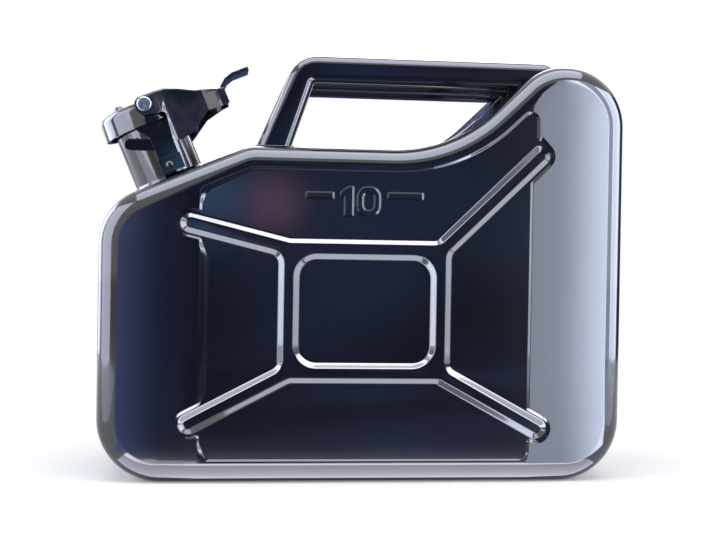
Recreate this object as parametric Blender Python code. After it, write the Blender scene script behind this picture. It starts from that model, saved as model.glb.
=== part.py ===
# Ten-litre pressed-steel fuel can with a cam-lever closure and three carrying bars.
# Metres, +Z up. X runs along the can from the neck to the tall end, Y through its depth.
# The origin is the middle of the base, on the surface that the can stands on.
import math

import bmesh
import bpy
from mathutils import Matrix, Vector

# Driving dimensions of the tank.
can_length = 0.350
can_depth = 0.144
tank_height = 0.2793
recess_drop = 0.0588
sheet = 0.0012
touch_gap = 0.0003
cut_overrun = 0.004

# Side outline of the tank. The shoulder ends shoulder_end from the neck's end of the can, and
# the bank starts bank_reach from its tall end.
base_corner_radius = 0.041
shoulder_corner_radius = 0.038
tall_corner_radius = 0.040
crown_radius = 0.038
floor_corner_radius = 0.026
bank_radius = 0.100
shoulder_slope = math.radians(23.0)
bank_slope = math.radians(44.0)
shoulder_end = 0.0966
bank_reach = 0.118

# Edge rolls and the recessed seam between the two pressings.
face_roll = 0.013
seam_half_width = 0.004
seam_depth = 0.003
bead_half_width = 0.0022
bead_height = 0.0013

# Pressed relief of each large face.
wing_width = 0.065
crease_lean = 0.004
wing_drop = 0.0035
step_depth = 0.0012
step_width = 0.0018
panel_margin = 0.0145
groove_width = 0.0142
groove_depth = 0.0026
groove_wall = 0.0041
ring_width = 0.0870
ring_height = 0.0676
ring_middle_share = 0.512
ring_offset = 0.0011
ring_radius = 0.0115
lobe_margin = 0.0022
bend_radius = 0.006
lobe_bend_radius = 0.0008
# Where each pressed arm ends: past its crease, below the recess or above the base.
arm_past_crease = 0.0055
upper_left_tip_drop = 0.0513
upper_right_tip_drop = 0.0025
lower_left_tip_height = 0.0385
lower_right_tip_height = 0.0358

# Filler neck, measured up its own axis from the shoulder.
neck_radius = 0.024
neck_wall = 0.0014
neck_length = 0.050
neck_tail = 0.003
neck_cut_reach = 0.008
neck_place = 0.0448
lip_overhang = 0.0009
lip_height = 0.0016
collar_width = 0.0040
collar_height = 0.0045
collar_edge = 0.0013

# Neck brackets, which carry the hinge pin and the locking slide. The heights of the whole
# closure are measured up the neck's axis from its mouth, so what lies below it is negative.
ear_inner = 0.0265
ear_thickness = 0.0020
ear_front = 0.0022
ear_back = 0.0121
ear_horn = 0.0056
ear_horn_height = -0.0148
ear_notch_height = -0.0180
ear_prong_height = -0.0101
ear_prong_reach = 0.0148
ear_arm_height = -0.0228
ear_corner = 0.0010
hinge_reach = 0.0295
hinge_height = -0.0170
hinge_pin_radius = 0.003
pin_clearance = 0.0002
pin_stand_out = 0.0003
ear_boss_radius = 0.0052
foot_block_gap = 0.0008
foot_block_slide_gap = 0.0056
foot_block_depth = 0.011
foot_block_proud = 0.0008
saddle_height = -0.0060
saddle_clearance = 0.0004

# Lid, its seal and its rivets.
lid_radius = 0.031
lid_taper = 0.0006
lid_rim = -0.0088
lid_height = 0.0163
lid_skirt = 0.0029
lid_top = 0.0022
lid_round = 0.0045
lug_radius = 0.0094
lug_rise = 0.003
lug_seat = 0.0005
knuckle_radius = 0.0042
knuckle_gap = 0.0005
lid_arm_half_width = 0.015
lid_arm_thickness = 0.0040
lid_arm_rise = 0.013
gasket_width = 0.0080
gasket_clearance = 0.0004
retainer_thickness = 0.0020
dome_radius = 0.0047
dome_height = 0.0054
dome_offset = 0.015
dome_shank = 0.0016

# Cam lever: a folded channel on two stub rivets, drawn in steps towards its thumb tab.
pivot_reach = 0.003
lever_sheet = 0.0020
lever_lid_gap = 0.0012
lever_roof_gap = 0.0005
lever_ear_gap = 0.0007
lever_eye_radius = 0.0064
lever_fold = 0.0025
lever_front = 0.010
lever_step_start = 0.0120
lever_step_end = 0.0170
lever_brow_reach = 0.0185
lever_brow_drop = 0.0002
lever_shoulder_reach = 0.0272
lever_shoulder_drop = 0.0032
lever_back_reach = 0.038
lever_back_drop = 0.0086
lever_taper_start = 0.042
lever_taper_end = 0.053
lever_length = 0.0580
lever_tail_half_width = 0.0150
lever_tail_drop = 0.0120
lever_web_start = 0.0335
lever_throat_reach = 0.0145
lever_throat_height = -0.0057
lever_toe_front = 0.0120
lever_toe_height = -0.0272
lever_toe_back = 0.0255
lever_belly_reach = 0.041
lever_belly_height = -0.0155
lever_tail_height = -0.0132
lever_corner = 0.0015
stub_radius = 0.0029
stub_seat = 0.0028
stub_boss_radius = 0.0056
stub_head_radius = 0.0050
stub_head_height = 0.0018
stub_head_round = 0.0007
tab_thickness = 0.0026
tab_half_width = 0.0125
tab_knee_out = 0.0045
tab_knee_up = 0.0038
tab_bend_out = 0.0100
tab_bend_up = 0.0056
tab_reach = 0.0218
tab_corner = 0.004

# Locking slide with its rounded finger end.
slide_height = 0.0080
slide_length = 0.0318
slide_thickness = 0.0016
slide_drop = 0.0222
slide_finger_lead = 0.0121
guide_rib = 0.0020
guide_length = 0.0090
guide_offset = 0.0097
slide_side_gap = 0.0004
slide_face_gap = 0.0005

# Carrying bars: hollow, one over the middle plane and one on each side of it.
bar_height = 0.0182
bar_width = 0.0185
bar_wall = 0.0012
bar_spacing = 0.036
bar_proud = 0.0052
bar_corner_radius = 0.0062
bar_bend_radius = 0.0112
bar_lean = 0.0204
bar_foot_setback = 0.0174
bar_past_crown = 0.0141
bar_nose = 0.0085
leg_width = 0.0232
foot_plate = 0.0018
foot_plate_border = 0.0012
foot_plate_half_width = 0.0124
foot_plate_corner = 0.003

# Breather tube from the mouth of the neck to the air space under the bars.
breather_radius = 0.0045
breather_wall = 0.0010
breather_bend = 0.012
breather_top_gap = 0.005
breather_drop = 0.009
breather_kick_reach = 0.0250
breather_kick_drop = 0.0150
breather_run_drop = 0.0145
breather_run_past_bank = 0.006
breather_end_past_bank = 0.056
breather_end_drop = 0.0363

# Smoothness of round shapes, in steps.
corner_steps = 7
small_steps = 3
turn_steps = 32
pin_steps = 20
roll_steps = 4
tip_steps = 4
tip_round_share = 0.96
straight_share = 0.98
bead_shoulder_share = 0.6
bead_side_share = 0.8
bead_crown_share = 0.35
collar_waist_share = 0.5
nose_shares = (0.4, 0.75, 1.0)
lip_edge_share = 0.25
taper_start_share = 0.3
taper_end_share = 0.3

half_length = can_length / 2
half_depth = can_depth / 2
neck_tilt = Matrix.Rotation(-shoulder_slope, 4, "Y")


def clear_scene():
    for obj in list(bpy.data.objects):
        bpy.data.objects.remove(obj, do_unlink=True)


def make_material(name, color, roughness, metallic):
    material = bpy.data.materials.new(name)
    material.use_nodes = True
    shader = material.node_tree.nodes["Principled BSDF"]
    shader.inputs["Base Color"].default_value = (*color, 1)
    shader.inputs["Roughness"].default_value = roughness
    shader.inputs["Metallic"].default_value = metallic
    return material


def make_object(name, bm, material=None, parent=None, offset=(0, 0, 0), sharp=35):
    """Turn a bmesh into an object that hangs on an optional parent empty."""
    bmesh.ops.recalc_face_normals(bm, faces=bm.faces)
    mesh = bpy.data.meshes.new(name)
    bm.to_mesh(mesh)
    bm.free()
    mesh.shade_smooth()
    mesh.set_sharp_from_angle(angle=math.radians(sharp))
    obj = bpy.data.objects.new(name, mesh)
    bpy.context.collection.objects.link(obj)
    if material:
        mesh.materials.append(material)
    obj.parent = parent
    obj.location = -Vector(offset)
    return obj


def make_empty(name, parent=None, place=(0, 0, 0)):
    empty = bpy.data.objects.new(name, None)
    bpy.context.collection.objects.link(empty)
    empty.parent = parent
    empty.location = place
    return empty


def combine(obj, tool, operation):
    """Cut a hidden tool shape out of an object, join it on, or keep what they share."""
    tool.hide_render = True
    tool.display_type = "WIRE"
    modifier = obj.modifiers.new(tool.name, "BOOLEAN")
    modifier.operation = operation
    modifier.object = tool
    modifier.solver = "EXACT"


def rounded_outline(corners, inset=0):
    """Round a counter-clockwise polygon of (x, z, radius, steps), moved inwards by inset."""
    points = [Vector(corner[:2]) for corner in corners]
    count = len(points)
    edges = [points[(i + 1) % count] - points[i] for i in range(count)]
    turns = [math.atan2(edges[i - 1].cross(edges[i]), edges[i - 1].dot(edges[i]))
             for i in range(count)]
    reaches = [corners[i][2] * math.tan(abs(turns[i]) / 2) for i in range(count)]
    spare = [edges[i].length * straight_share / (reaches[i] + reaches[(i + 1) % count])
             for i in range(count)]
    outline = []
    for i in range(count):
        hand = math.copysign(1, turns[i])
        before, after = edges[i - 1].normalized(), edges[i].normalized()
        left_before = Vector((-before.y, before.x))
        left_after = Vector((-after.y, after.x))
        miter = (left_before + left_after) / (1 + left_before.dot(left_after))
        radius = corners[i][2] * min(1, spare[i - 1], spare[i]) - inset * hand
        radius = max(radius, touch_gap)
        start = points[i] + miter * inset - before * radius * math.tan(abs(turns[i]) / 2)
        centre = start + left_before * radius * hand
        for step in range(corners[i][3] + 1):
            turned = Matrix.Rotation(turns[i] * step / corners[i][3], 2)
            outline.append(centre + turned @ (start - centre))
    return outline


def add_ring(bm, points):
    return [bm.verts.new(point) for point in points]


def bridge(bm, first, second):
    count = len(first)
    for i in range(count):
        j = (i + 1) % count
        bm.faces.new((first[i], first[j], second[j], second[i]))


def fill_flat(bm, *rings):
    """Fill the area inside the first ring and outside the others with triangles."""
    edges = []
    for ring in rings:
        for i, vert in enumerate(ring):
            other = ring[(i + 1) % len(ring)]
            edges.append(bm.edges.get((vert, other)) or bm.edges.new((vert, other)))
    bmesh.ops.triangle_fill(bm, use_beauty=True, use_dissolve=False, edges=edges)


def extrude_outline(outline, low, high):
    """A straight prism on an outline in the X-Z plane, from low to high along Y."""
    bm = bmesh.new()
    near = add_ring(bm, [Vector((p.x, low, p.y)) for p in outline])
    far = add_ring(bm, [Vector((p.x, high, p.y)) for p in outline])
    bridge(bm, near, far)
    bm.faces.new(near)
    bm.faces.new(far)
    return bm


def turn_profile(profile, steps=turn_steps, closed=True):
    """Turn a profile of (radius, height) about Z; a closed one leaves a bore open."""
    bm = bmesh.new()
    rings = []
    for radius, height in profile:
        angles = [math.tau * k / steps for k in range(steps)]
        rings.append(add_ring(bm, [Vector((radius * math.cos(t), radius * math.sin(t), height))
                                   for t in angles]))
    for first, second in zip(rings, rings[1:]):
        bridge(bm, first, second)
    if closed:
        bridge(bm, rings[-1], rings[0])
    else:
        bm.faces.new(rings[0])
        bm.faces.new(rings[-1])
    return bm


def rod(radius, low, high, centre=(0, 0), steps=pin_steps):
    """A rod along Y through the point centre of the X-Z plane."""
    circle = [Vector((centre[0] + radius * math.cos(math.tau * k / steps),
                      centre[1] + radius * math.sin(math.tau * k / steps)))
              for k in range(steps)]
    return extrude_outline(circle, low, high)


def box_outline(left, right, low, high, radius=touch_gap, steps=1):
    return rounded_outline([(left, low, radius, steps), (right, low, radius, steps),
                            (right, high, radius, steps), (left, high, radius, steps)])


# Places on the side outline, in the tank's own frame.
recess_height = tank_height - recess_drop
shoulder_line_x = shoulder_end - half_length
bank_line_x = half_length - bank_reach
shoulder_wall_height = recess_height - shoulder_end * math.tan(shoulder_slope)
bank_crown_x = bank_line_x + recess_drop / math.tan(bank_slope)
neck_x = neck_place - half_length
neck_z = recess_height + (neck_x - shoulder_line_x) * math.tan(shoulder_slope)
foot_block_low = collar_height + foot_block_gap - neck_length
mouth_x = neck_x - neck_length * math.sin(shoulder_slope)
slide_level = neck_z + neck_length * math.cos(shoulder_slope) - slide_drop
bar_foot_x = shoulder_line_x + bar_foot_setback
bar_axis_height = tank_height + bar_proud - bar_height / 2
crease_half_span = half_length - wing_width
lever_crest = lid_rim + lid_height + lever_roof_gap + lever_sheet
pivot_height = lever_crest - lever_eye_radius


def tank_corners():
    return [
        (half_length, 0, base_corner_radius, corner_steps),
        (half_length, tank_height, tall_corner_radius, corner_steps),
        (bank_crown_x, tank_height, crown_radius, corner_steps),
        (bank_line_x, recess_height, bank_radius, corner_steps),
        (shoulder_line_x, recess_height, floor_corner_radius, small_steps),
        (-half_length, shoulder_wall_height, shoulder_corner_radius, corner_steps),
        (-half_length, 0, base_corner_radius, corner_steps),
    ]


def face_level(x):
    """Height of the large face above the middle plane: flat, then wings that fall away."""
    beyond = max(abs(x) - crease_half_span, 0) / wing_width
    return half_depth - wing_drop * beyond


# The pressed arms run from the corners of the centre ring to tips just past the creases.
ring_half_width = ring_width / 2 + groove_width
ring_half_height = ring_height / 2 + groove_width
ring_middle_height = recess_height * ring_middle_share
ring_left = -ring_half_width - ring_offset
ring_right = ring_half_width - ring_offset
ring_low = ring_middle_height - ring_half_height
ring_high = ring_middle_height + ring_half_height
arm_tip_x = crease_half_span + arm_past_crease
arm_tips = {
    "lower_right": (1, -1, lower_right_tip_height),
    "upper_right": (1, 1, recess_height - upper_right_tip_drop),
    "upper_left": (-1, 1, recess_height - upper_left_tip_drop),
    "lower_left": (-1, -1, lower_left_tip_height),
}


def meet(point, direction, axis, value):
    """Where a line reaches a given x (axis 0) or a given z (axis 1)."""
    return point + direction * ((value - point[axis]) / direction[axis])


def arm_corners(arm, half_width, arrival, departure, root_radius):
    """Corners round an arm, from the line the outline arrives on to the line it leaves on."""
    side, rise, tip_height = arm_tips[arm]
    start = Vector((side * (ring_half_width - groove_width / 2) - ring_offset,
                    ring_middle_height + rise * (ring_half_height - groove_width / 2)))
    tip = Vector((side * arm_tip_x, tip_height))
    along = (tip - start).normalized()
    across = Vector((-along.y, along.x)) * half_width
    end = tip + along * half_width
    tip_radius = half_width * tip_round_share
    return [
        (*meet(start - across, along, *arrival), root_radius, small_steps),
        (*(end - across), tip_radius, tip_steps),
        (*(end + across), tip_radius, tip_steps),
        (*meet(start + across, along, *departure), root_radius, small_steps),
    ]


def groove_corners():
    """The outer edge of the pressed groove: the centre ring with its four arms."""
    half = groove_width / 2
    return (arm_corners("lower_right", half, (1, ring_low), (0, ring_right), bend_radius)
            + arm_corners("upper_right", half, (0, ring_right), (1, ring_high), bend_radius)
            + arm_corners("upper_left", half, (1, ring_high), (0, ring_left), bend_radius)
            + arm_corners("lower_left", half, (0, ring_left), (1, ring_low), bend_radius))


def panel_corners():
    """The recessed panel: parallel to the tank's outline, with a lobe round each arm's tip."""
    half = groove_width / 2 + lobe_margin
    right, upper_right, left = crease_half_span, crease_half_span + crease_lean, -crease_half_span
    drop_bank = panel_margin / math.cos(bank_slope)
    drop_shoulder = panel_margin / math.cos(shoulder_slope)
    top = recess_height - panel_margin
    bank_top = recess_height + (upper_right - bank_line_x) * math.tan(bank_slope) - drop_bank
    bank_x = bank_line_x + (drop_bank - panel_margin) / math.tan(bank_slope)
    shoulder_x = shoulder_line_x + (drop_shoulder - panel_margin) / math.tan(shoulder_slope)
    shoulder_top = recess_height + (left - shoulder_line_x) * math.tan(shoulder_slope) - drop_shoulder
    crown_top = tank_height - panel_margin
    upper_corners = [(upper_right, min(bank_top, crown_top), bend_radius, small_steps)]
    if bank_top > crown_top:
        crown_x = bank_line_x + (crown_top - recess_height + drop_bank) / math.tan(bank_slope)
        upper_corners.append((crown_x, crown_top, crown_radius - panel_margin, small_steps))
    return ([(left, panel_margin, bend_radius, small_steps),
             (right, panel_margin, bend_radius, small_steps)]
            + arm_corners("lower_right", half, (0, right), (0, right), lobe_bend_radius)
            + arm_corners("upper_right", half, (0, right), (0, upper_right), lobe_bend_radius)
            + upper_corners
            + [(bank_x, top, bank_radius + panel_margin, corner_steps),
               (shoulder_x, top, bend_radius, small_steps),
               (left, shoulder_top, bend_radius, small_steps)]
            + arm_corners("upper_left", half, (0, left), (0, left), lobe_bend_radius)
            + arm_corners("lower_left", half, (0, left), (0, left), lobe_bend_radius))


def ring_corners():
    left, right = ring_left + groove_width, ring_right - groove_width
    low, high = ring_low + groove_width, ring_high - groove_width
    return [(left, low, ring_radius, small_steps), (right, low, ring_radius, small_steps),
            (right, high, ring_radius, small_steps), (left, high, ring_radius, small_steps)]


def build_pressing(name, side, material):
    """One half of the tank: a pressed tray, open towards the middle plane."""
    bm = bmesh.new()
    corners = tank_corners()

    def loop(outline, level):
        return add_ring(bm, [Vector((p.x, side * (level(p.x) if callable(level) else level), p.y))
                             for p in outline])

    rim = rounded_outline(corners, seam_depth)
    side_wall = rounded_outline(corners)
    roll_start = half_depth - face_roll
    loops = [loop(rim, touch_gap / 2), loop(rim, seam_half_width),
             loop(side_wall, seam_half_width + seam_depth), loop(side_wall, roll_start)]
    for step in range(1, roll_steps + 1):
        angle = math.pi / 2 * step / roll_steps
        outline = rounded_outline(corners, face_roll * (1 - math.cos(angle)))

        def level(x, sine=math.sin(angle)):
            return roll_start + (face_level(x) - roll_start) * sine
        loops.append(loop(outline, level))
    for first, second in zip(loops, loops[1:]):
        bridge(bm, first, second)

    panel_level = half_depth - step_depth
    groove_level = panel_level - groove_depth
    step_edge = loop(rounded_outline(panel_corners()), face_level)
    panel_edge = loop(rounded_outline(panel_corners(), step_width), panel_level)
    groove_edge = loop(rounded_outline(groove_corners()), panel_level)
    groove_foot = loop(rounded_outline(groove_corners(), groove_wall), groove_level)
    ring_foot = loop(rounded_outline(ring_corners(), -groove_wall), groove_level)
    ring_edge = loop(rounded_outline(ring_corners()), panel_level)
    for first, second in ((step_edge, panel_edge), (groove_edge, groove_foot),
                          (ring_foot, ring_edge)):
        bridge(bm, first, second)
    fill_flat(bm, loops[-1], step_edge)
    fill_flat(bm, panel_edge, groove_edge)
    fill_flat(bm, groove_foot, ring_foot)
    fill_flat(bm, ring_edge)

    bmesh.ops.recalc_face_normals(bm, faces=bm.faces)
    middle = max(bm.faces, key=lambda face: side * face.calc_center_median().y)
    if middle.normal.y * side < 0:
        bmesh.ops.reverse_faces(bm, faces=bm.faces)
    mesh = bpy.data.meshes.new(name)
    bm.to_mesh(mesh)
    bm.free()
    mesh.shade_smooth()
    mesh.set_sharp_from_angle(angle=math.radians(35))
    mesh.materials.append(material)
    pressing = bpy.data.objects.new(name, mesh)
    bpy.context.collection.objects.link(pressing)
    wall = pressing.modifiers.new("sheet", "SOLIDIFY")
    wall.thickness = sheet
    wall.offset = -1
    wall.use_even_offset = True
    return pressing


def build_seam_bead(material, neck_frame):
    """The weld bead that joins the pressings, laid in their recessed seam."""
    bm = bmesh.new()
    seat = seam_depth - touch_gap
    section = [(seat, bead_half_width), (seat - bead_height * bead_shoulder_share,
                                         bead_half_width * bead_side_share),
               (seat - bead_height, bead_half_width * bead_crown_share)]
    section = [(inset, -y) for inset, y in section] + section[::-1]
    loops = []
    for inset, y in section:
        loops.append(add_ring(bm, [Vector((p.x, y, p.y))
                                   for p in rounded_outline(tank_corners(), inset)]))
    for first, second in zip(loops, loops[1:] + loops[:1]):
        bridge(bm, first, second)
    bead = make_object("seam_weld", bm, material)
    space = turn_profile([(neck_radius + collar_width + 2 * touch_gap, -neck_cut_reach),
                          (neck_radius + collar_width + 2 * touch_gap, neck_cut_reach)],
                         closed=False)
    combine(bead, make_object("bead_gap", space, parent=neck_frame), "DIFFERENCE")


def build_neck(neck_frame, enamel):
    tail, mouth = -neck_tail, neck_length
    lip = neck_radius + lip_overhang
    bore = neck_radius - neck_wall
    profile = [(neck_radius, tail), (neck_radius, mouth - lip_height),
               (lip, mouth - lip_height * (1 - lip_edge_share)),
               (lip, mouth - lip_height * lip_edge_share), (neck_radius, mouth), (bore, mouth), (bore, tail)]
    make_object("filler_neck", turn_profile(profile), enamel, neck_frame)
    inner = neck_radius + touch_gap
    outer = inner + collar_width
    profile = [(inner, touch_gap), (outer, touch_gap), (outer, collar_edge),
               (inner + collar_width * collar_waist_share, collar_height * collar_waist_share),
               (inner + collar_edge / 2, collar_height), (inner, collar_height)]
    make_object("neck_collar", turn_profile(profile), enamel, neck_frame)


def cut_neck_hole(pressing, neck_frame):
    hole = turn_profile([(neck_radius + touch_gap, -neck_cut_reach),
                         (neck_radius + touch_gap, neck_cut_reach)], closed=False)
    combine(pressing, make_object(pressing.name + "_neck_hole", hole, parent=neck_frame), "DIFFERENCE")


def bend_path(points, radius, steps):
    """Points and directions along a bent line in the X-Z plane, rounded at each corner."""
    points = [Vector(point) for point in points]
    path = [(points[0], (points[1] - points[0]).normalized())]
    for i in range(1, len(points) - 1):
        before = (points[i] - points[i - 1]).normalized()
        after = (points[i + 1] - points[i]).normalized()
        turn = math.atan2(before.cross(after), before.dot(after))
        hand = math.copysign(1, turn)
        start = points[i] - before * radius * math.tan(abs(turn) / 2)
        centre = start + Vector((-before.y, before.x)) * radius * hand
        for step in range(steps + 1):
            turned = Matrix.Rotation(turn * step / steps, 2)
            path.append((centre + turned @ (start - centre), turned @ before))
    path.append((points[-1], (points[-1] - points[-2]).normalized()))
    return path


def section_ring(bm, centre, upward, half_height, half_width, radius, level):
    """A rounded section across a tube: upward lies in the X-Z plane, its width along Y."""
    outline = rounded_outline([(half_height, -half_width, radius, small_steps),
                               (half_height, half_width, radius, small_steps),
                               (-half_height, half_width, radius, small_steps),
                               (-half_height, -half_width, radius, small_steps)])
    return add_ring(bm, [Vector((centre.x + upward.x * p.x, level + p.y,
                                 centre.y + upward.y * p.x)) for p in outline])


def hollow_tube(outer_rings, inner_rings, bm, open_end):
    for rings in (outer_rings, inner_rings):
        for first, second in zip(rings, rings[1:]):
            bridge(bm, first, second)
    bridge(bm, outer_rings[0], inner_rings[0])
    if open_end:
        bridge(bm, outer_rings[-1], inner_rings[-1])
    else:
        bm.faces.new(outer_rings[-1])
        bm.faces.new(inner_rings[-1])


def build_bar(name, level, material, bank):
    """A carrying bar: a leg that rises from the recess, an elbow, and a run into the bank."""
    half = bar_height / 2
    foot_height = recess_height + foot_plate + 2 * touch_gap
    elbow = Vector((bar_foot_x + bar_lean, bar_axis_height))
    foot = Vector((bar_foot_x, foot_height))
    end = Vector((bank_crown_x + bar_past_crown, bar_axis_height))
    path = bend_path([foot, elbow, end - Vector((bar_nose, 0))], bar_bend_radius, small_steps + 1)
    bm = bmesh.new()
    outer, inner = [], []
    for point, along in path:
        upward = Vector((-along.y, along.x))
        height, across = half, upward
        if point is path[0][0]:
            height, across = leg_width / 2, Vector((-1, 0))
        outer.append(section_ring(bm, point, across, height, bar_width / 2,
                                  bar_corner_radius, level))
        inner.append(section_ring(bm, point, across, height - bar_wall, bar_width / 2 - bar_wall,
                                  bar_corner_radius - bar_wall, level))
    for share in nose_shares:
        centre = end - Vector((bar_nose * (1 - share), bar_proud * share ** 2))
        upward = Vector((0, 1))
        outer.append(section_ring(bm, centre, upward, half, bar_width / 2, bar_corner_radius, level))
    hollow_tube(outer, inner, bm, open_end=False)
    bar = make_object(name, bm, material)
    combine(bar, bank, "DIFFERENCE")


def plan_prism(outline, low, high):
    """A straight prism on an outline in the X-Y plane, from low to high along Z."""
    bm = bmesh.new()
    near = add_ring(bm, [Vector((p.x, p.y, low)) for p in outline])
    far = add_ring(bm, [Vector((p.x, p.y, high)) for p in outline])
    bridge(bm, near, far)
    bm.faces.new(near)
    bm.faces.new(far)
    return bm


def build_bars(enamel):
    outline = rounded_outline(tank_corners(), -touch_gap)
    reach = bar_spacing + bar_width
    bank = make_object("bank_cutter", extrude_outline(outline, -reach, reach))
    middle = bar_foot_x
    half = leg_width / 2 + foot_plate_border
    low = recess_height + touch_gap
    for name, level in (("front", -bar_spacing), ("middle", 0), ("rear", bar_spacing)):
        build_bar("bar_" + name, level, enamel, bank)
        plate = rounded_outline([
            (middle - half, level - foot_plate_half_width, foot_plate_corner, small_steps),
            (middle + half, level - foot_plate_half_width, foot_plate_corner, small_steps),
            (middle + half, level + foot_plate_half_width, foot_plate_corner, small_steps),
            (middle - half, level + foot_plate_half_width, foot_plate_corner, small_steps)])
        make_object("foot_plate_" + name, plan_prism(plate, low, low + foot_plate), enamel)


def build_breather(neck_frame, steel):
    """A bent tube that lets air into the tank while it pours."""
    reach = neck_radius - neck_wall - touch_gap - breather_radius

    def from_neck(out, up):
        place = neck_tilt @ Vector((out, 0, up))
        return (neck_frame.location.x + place.x, neck_frame.location.z + place.z)
    points = [from_neck(reach, neck_length - breather_top_gap),
              from_neck(reach, -breather_drop),
              from_neck(reach + breather_kick_reach, -breather_drop - breather_kick_drop),
              (bank_line_x + breather_run_past_bank, recess_height - breather_run_drop),
              (bank_line_x + breather_end_past_bank, tank_height - breather_end_drop)]
    bm = bmesh.new()
    outer, inner = [], []
    for point, along in bend_path(points, breather_bend, small_steps):
        upward = Vector((-along.y, along.x))
        for rings, radius in ((outer, breather_radius), (inner, breather_radius - breather_wall)):
            rings.append(section_ring(bm, point, upward, radius, radius, radius, 0))
    hollow_tube(outer, inner, bm, open_end=True)
    make_object("breather_tube", bm, steel)


def build_ear(name, side, closure_frame, material, guide):
    """A bracket welded to one side of the neck, with a saddle for the lid's lug."""
    inner, outer = side * ear_inner, side * (ear_inner + ear_thickness)
    high = hinge_height + ear_boss_radius
    low = hinge_height - ear_boss_radius
    back = hinge_reach + ear_boss_radius
    slide_low = -(slide_drop + slide_height / 2) / math.cos(shoulder_slope)
    block_high = slide_low - foot_block_slide_gap
    outline = rounded_outline([
        (-ear_front, foot_block_low + foot_block_proud, ear_corner, 1),
        (ear_back, foot_block_low + foot_block_proud, ear_corner, 1),
        (ear_back, ear_arm_height, ear_corner, 1),
        (back, low, ear_boss_radius, small_steps + 1),
        (back, high, ear_boss_radius, small_steps + 1),
        (ear_prong_reach, ear_prong_height, ear_corner, 1),
        (-ear_horn, ear_prong_height, ear_corner, 1),
        (-ear_horn, ear_horn_height, ear_corner / 2, 1),
        (-ear_front, ear_notch_height, ear_corner, 1)])
    ear = make_object(name, extrude_outline(outline, inner, outer), material, closure_frame)
    block_outer = side * (ear_inner + ear_thickness + foot_block_proud)
    block_shape = extrude_outline(box_outline(-ear_front - foot_block_proud, ear_back + foot_block_proud,
                                              foot_block_low, block_high),
                                  block_outer - side * foot_block_depth, block_outer)
    block = make_object(name + "_block", block_shape, parent=closure_frame)
    neck_space = turn_profile([(neck_radius + touch_gap, -neck_length), (neck_radius + touch_gap, 0)],
                              closed=False)
    combine(block, make_object(name + "_neck_space", neck_space, parent=closure_frame), "DIFFERENCE")
    combine(ear, block, "UNION")
    if guide:
        for hand in (-1, 1):
            rise = slide_level + hand * (slide_height / 2 + slide_side_gap + guide_rib / 2)
            left = mouth_x + guide_offset
            rib = extrude_outline(box_outline(left, left + guide_length, rise - guide_rib / 2,
                                              rise + guide_rib / 2),
                                  side * (ear_inner - slide_thickness - slide_face_gap),
                                  side * (ear_inner + ear_thickness / 2))
            combine(ear, make_object(name + "_rib_" + str(hand + 1), rib), "UNION")
    seat = rod(lug_radius + saddle_clearance, -neck_length, neck_length, (0, saddle_height), turn_steps)
    combine(ear, make_object(name + "_saddle", seat, parent=closure_frame), "DIFFERENCE")
    bore = rod(hinge_pin_radius + pin_clearance, -neck_length, neck_length,
               (hinge_reach, hinge_height))
    combine(ear, make_object(name + "_bore", bore, parent=closure_frame), "DIFFERENCE")


def build_slide(material):
    """The locking slide: a flat strip that runs between the front bracket and the neck."""
    axis = make_empty("slide_axis", place=(mouth_x - slide_finger_lead, 0, slide_level))
    half = slide_height / 2
    outline = rounded_outline([
        (0, -half, half, small_steps + 1), (slide_length, -half, ear_corner, 1),
        (slide_length, half, ear_corner, 1), (0, half, half, small_steps + 1)])
    back = -ear_inner + slide_face_gap / 2
    make_object("locking_slide", extrude_outline(outline, back, back + slide_thickness),
                material, axis)


def lid_edge():
    """The outside of the lid as radius and height, from its rim to its flat top."""
    top = lid_rim + lid_height
    crown = lid_radius - lid_taper
    edge = [(lid_radius, lid_rim), (crown, top - lid_round)]
    for step in range(1, small_steps + 1):
        angle = math.pi / 2 * step / small_steps
        edge.append((crown - lid_round * (1 - math.cos(angle)),
                     top - lid_round * (1 - math.sin(angle))))
    return edge


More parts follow.
